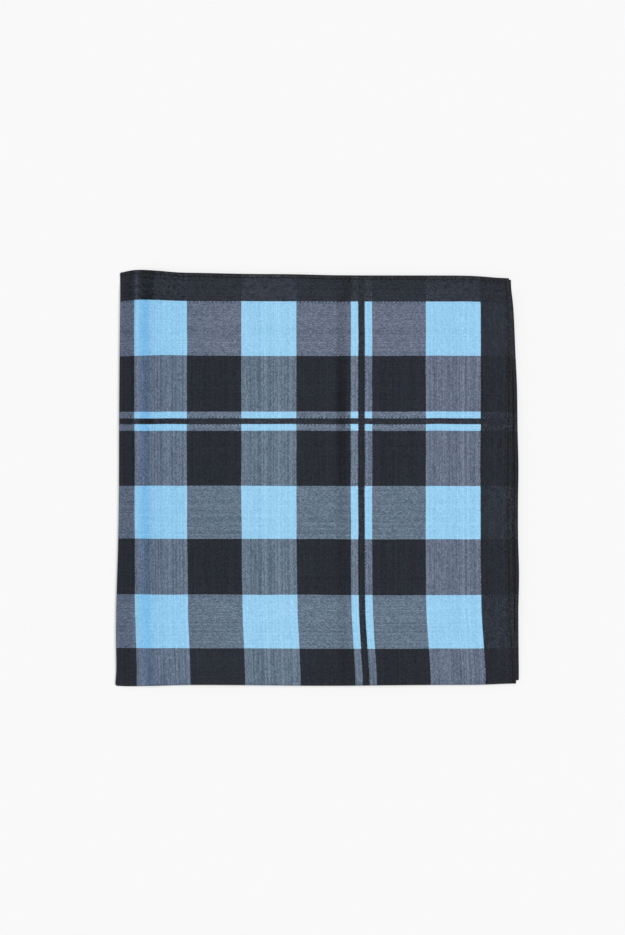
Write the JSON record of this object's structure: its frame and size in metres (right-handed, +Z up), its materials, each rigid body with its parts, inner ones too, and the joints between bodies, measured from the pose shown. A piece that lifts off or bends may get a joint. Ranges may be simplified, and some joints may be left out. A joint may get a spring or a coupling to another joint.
{
  "type": "folded cotton handkerchief",
  "caption": "Square cotton handkerchief, hemmed all round and folded in half both ways, lying flat with its folds at the left and bottom edges.",
  "frame": {"origin": "middle of the footprint, on the surface that the cloth lies on", "axes": "+X from the left fold to the open side hems, +Y from the bottom fold to the open top hems, +Z up out of the stack"},
  "size_m": [0.2284, 0.236, 0.0064],
  "materials": {
    "checked_cotton": "matte plain weave"
  },
  "bodies": {
    "root": {"handkerchief": "checked_cotton"}
  },
  "joints": []
}
